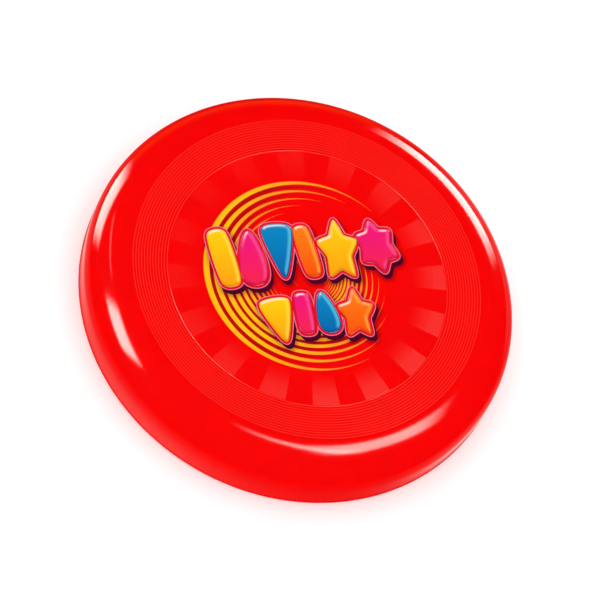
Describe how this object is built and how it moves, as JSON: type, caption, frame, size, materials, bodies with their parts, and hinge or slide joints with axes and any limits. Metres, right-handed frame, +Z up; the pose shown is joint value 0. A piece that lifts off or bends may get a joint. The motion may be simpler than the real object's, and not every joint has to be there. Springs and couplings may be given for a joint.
{
  "type": "flying disc",
  "caption": "Round toy flying disc: a shallow red moulded shell, hollow below, with concentric grooves, a radial ray texture and a coloured centre print of a swirl and puffy shapes.",
  "frame": {"origin": "middle of the disc, on the surface that its rim stands on", "axes": "+Z up through the face along the disc's axis, +X along the two rows of the centre print"},
  "size_m": [0.23, 0.23, 0.0326],
  "materials": {
    "shell_red": "gloss moulded red, with matt rays round the centre of the face",
    "swirl_yellow": "printed yellow that runs to orange at the tips, satin",
    "outline_maroon": "printed dark maroon, satin",
    "motif_yellow": "printed yellow, gloss",
    "motif_magenta": "printed magenta, gloss",
    "motif_blue": "printed blue, gloss",
    "motif_orange": "printed orange, gloss"
  },
  "bodies": {
    "root": {"disc_shell": "shell_red", "swirl_print": "swirl_yellow", "upper_outline_print": "outline_maroon", "lower_outline_print": "outline_maroon", "upper_pebble_yellow": "motif_yellow", "upper_egg_magenta": "motif_magenta", "upper_shield_blue": "motif_blue", "upper_pebble_orange": "motif_orange", "upper_star_yellow": "motif_yellow", "upper_flower_magenta": "motif_magenta", "lower_shield_yellow": "motif_yellow", "lower_pebble_magenta": "motif_magenta", "lower_egg_blue": "motif_blue", "lower_star_orange": "motif_orange"}
  },
  "joints": []
}
